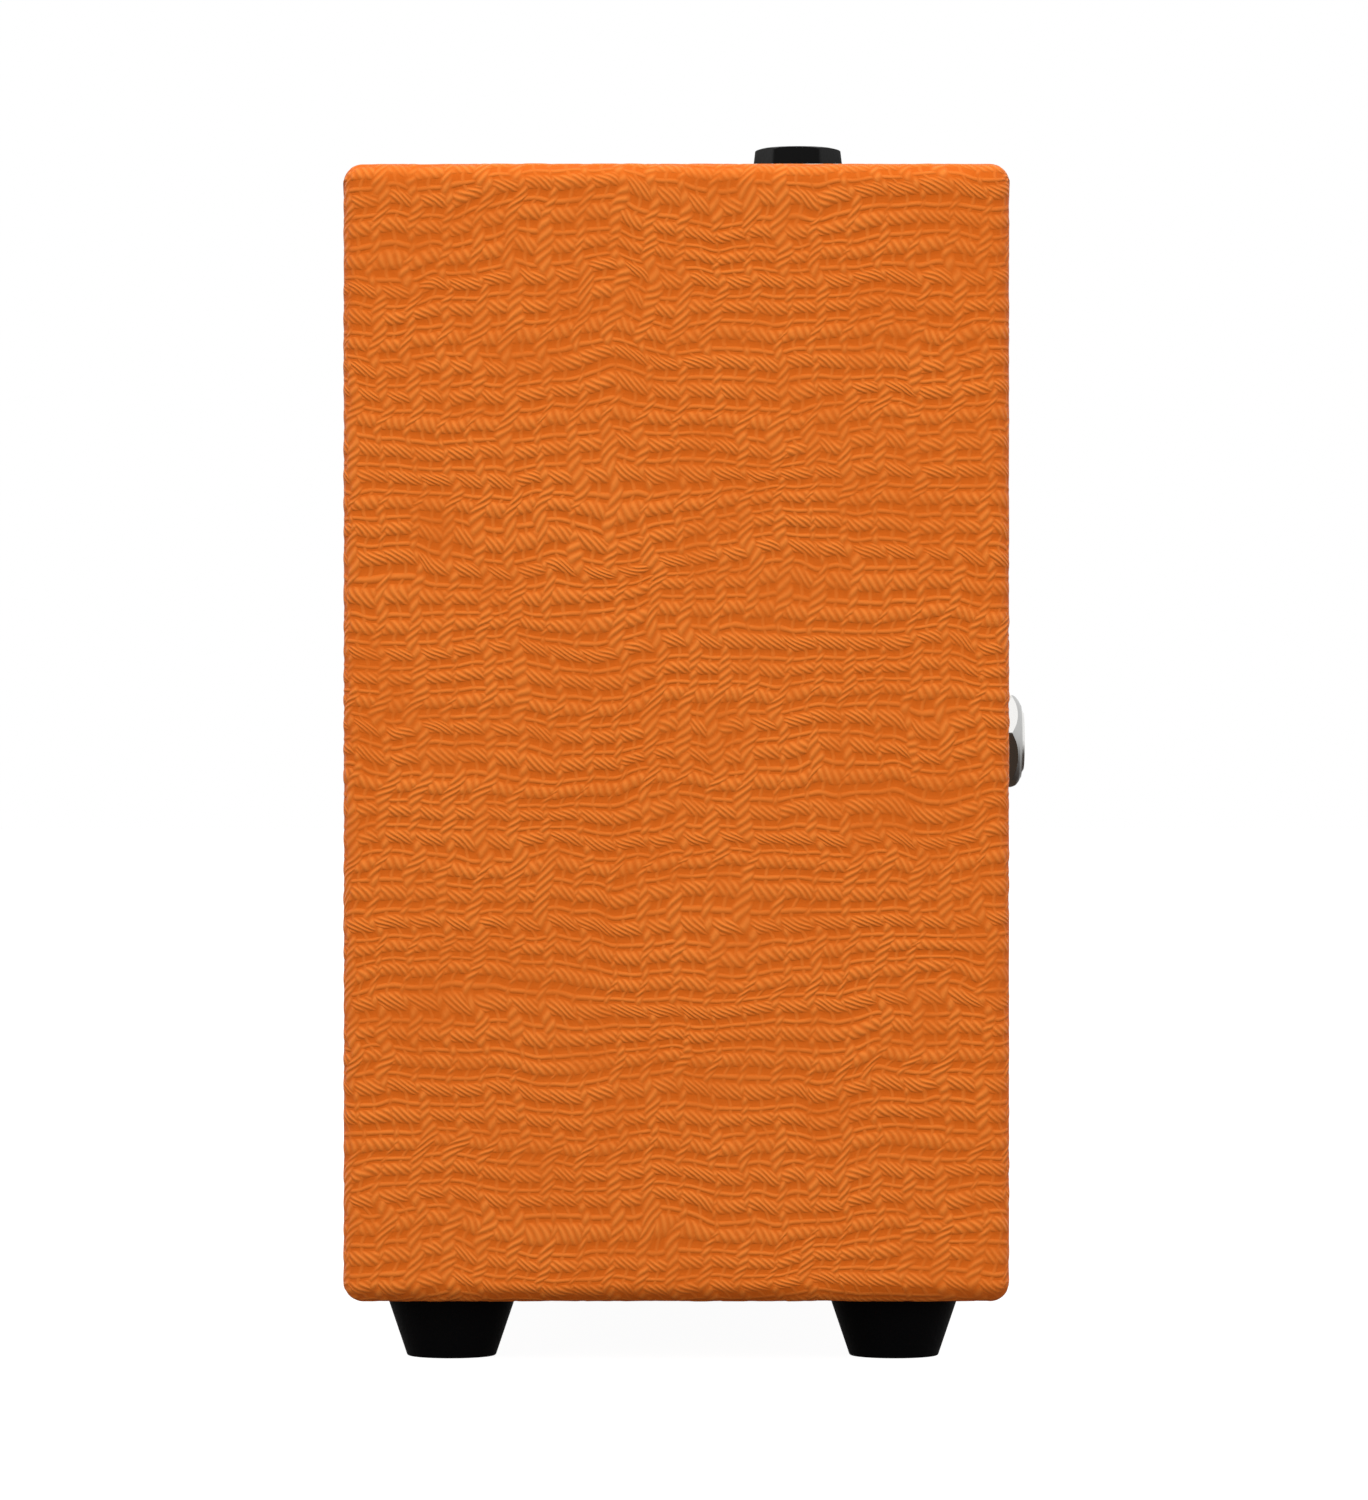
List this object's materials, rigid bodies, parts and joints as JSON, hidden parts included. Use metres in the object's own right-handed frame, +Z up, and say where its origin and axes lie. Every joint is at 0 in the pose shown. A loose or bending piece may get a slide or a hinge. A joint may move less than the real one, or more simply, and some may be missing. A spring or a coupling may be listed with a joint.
{
  "type": "battery-powered practice amplifier",
  "caption": "Small box-shaped guitar practice amplifier in orange basket-weave vinyl, with rubber feet, a sunk control panel on top and a bright socket nut at the back.",
  "frame": {"origin": "middle of the footprint of the whole object, on the surface that the feet stand on", "axes": "+Z up; -Y is the front with the grille, +Y is the back; +X is to the right seen from the front"},
  "size_m": [0.149, 0.089, 0.1592],
  "materials": {
    "orange_vinyl": "basket-weave embossed vinyl",
    "mdf": "raw fibreboard",
    "pine": "raw",
    "black_board": "black painted fibreboard",
    "grille_weave": "woven speaker cloth",
    "piping_plastic": "satin black",
    "foot_rubber": "matte black",
    "zinc_steel": "zinc plated",
    "black_steel": "black",
    "panel_paint": "cream, satin",
    "basket_steel": "zinc plated, pressed",
    "gasket_card": "black card",
    "surround_foam": "doped cloth",
    "cone_paper": "pressed paper",
    "cap_paper": "gloss dust cap",
    "coil_copper": "enamelled copper",
    "spider_cloth": "resin cloth",
    "ferrite": "sintered ferrite",
    "tag_board": "phenolic board with tinned tags",
    "board_green": "solder mask",
    "component_mix": "moulded packages",
    "knob_plastic": "black",
    "shaft_steel": "turned",
    "pot_case": "moulded case",
    "jack_plastic": "moulded nylon",
    "light_red": "clear red",
    "nut_chrome": "polished",
    "battery_case": "wrapped cell",
    "button_plastic": "black",
    "lead_pvc": "insulated wire"
  },
  "bodies": {
    "cabinet": {"top_board": "mdf", "bottom_board": "mdf", "left_side_board": "mdf", "right_side_board": "mdf", "vinyl_covering": "orange_vinyl", "front_cleats": "pine", "rear_cleats": "pine", "front_baffle": "black_board", "grille_cloth": "grille_weave", "grille_piping": "piping_plastic", "foot_front_left": "foot_rubber", "foot_front_right": "foot_rubber", "foot_rear_left": "foot_rubber", "foot_rear_right": "foot_rubber", "foot_screws": "zinc_steel", "speaker_gasket": "gasket_card", "speaker_basket": "basket_steel", "speaker_screws": "zinc_steel", "speaker_terminals": "tag_board", "speaker_surround": "surround_foam", "speaker_spider": "spider_cloth", "speaker_top_plate": "zinc_steel", "speaker_magnet": "ferrite", "speaker_back_plate": "zinc_steel", "control_panel": "panel_paint", "panel_screws": "zinc_steel", "circuit_board": "board_green", "board_standoffs": "zinc_steel", "board_components": "component_mix", "panel_light_pipes": "light_red", "potentiometers": "pot_case", "input_jack": "jack_plastic", "input_jack_nut": "jack_plastic", "mini_jacks": "jack_plastic", "power_switch": "zinc_steel", "back_panel": "black_board", "back_panel_screws": "black_steel", "speaker_out_jack": "jack_plastic", "speaker_out_washer": "nut_chrome", "speaker_out_nut": "nut_chrome", "dc_jack": "jack_plastic", "battery_box": "jack_plastic", "battery": "battery_case", "battery_snap": "button_plastic", "battery_lead": "lead_pvc", "speaker_lead": "lead_pvc", "output_lead": "lead_pvc", "supply_lead": "lead_pvc"},
    "gain_control": {"gain_knob": "knob_plastic", "gain_pot_shaft": "shaft_steel"},
    "tone_control": {"tone_knob": "knob_plastic", "tone_pot_shaft": "shaft_steel"},
    "volume_control": {"volume_knob": "knob_plastic", "volume_pot_shaft": "shaft_steel"},
    "power_slider": {"power_switch_slider": "button_plastic"},
    "tuner_push": {"tuner_button": "button_plastic"},
    "battery_cover": {"battery_door": "jack_plastic"},
    "speaker_motion": {"speaker_cone": "cone_paper", "speaker_dust_cap": "cap_paper", "voice_coil": "coil_copper"}
  },
  "joints": [
    {"name": "gain_knob_turn", "type": "hinge", "parent": "cabinet", "child": "gain_control", "pos_m": [0.022, 0.01463, 0.15], "axis": [0, 0, -1], "range_deg": [-150, 150]},
    {"name": "tone_knob_turn", "type": "hinge", "parent": "cabinet", "child": "tone_control", "pos_m": [0.003, 0.01463, 0.15], "axis": [0, 0, -1], "range_deg": [-150, 150]},
    {"name": "volume_knob_turn", "type": "hinge", "parent": "cabinet", "child": "volume_control", "pos_m": [-0.016, 0.01463, 0.15], "axis": [0, 0, -1], "range_deg": [-150, 150]},
    {"name": "power_switch_slide", "type": "slide", "parent": "cabinet", "child": "power_slider", "axis": [1, 0, 0], "range_m": [0, 0.003]},
    {"name": "tuner_button_press", "type": "slide", "parent": "cabinet", "child": "tuner_push", "axis": [0, 0, 1], "range_m": [-0.001, 0], "stiffness_N_per_m": 400, "springref_m": 0.0005},
    {"name": "battery_door_hinge", "type": "hinge", "parent": "cabinet", "child": "battery_cover", "pos_m": [-0.028, 0.04113, 0.0559], "axis": [1, 0, 0], "range_deg": [0, 95]},
    {"name": "speaker_cone_travel", "type": "slide", "parent": "cabinet", "child": "speaker_motion", "axis": [0, 1, 0], "range_m": [-0.0015, 0.0015], "stiffness_N_per_m": 2000, "deforming": ["speaker_surround", "speaker_spider"]}
  ]
}
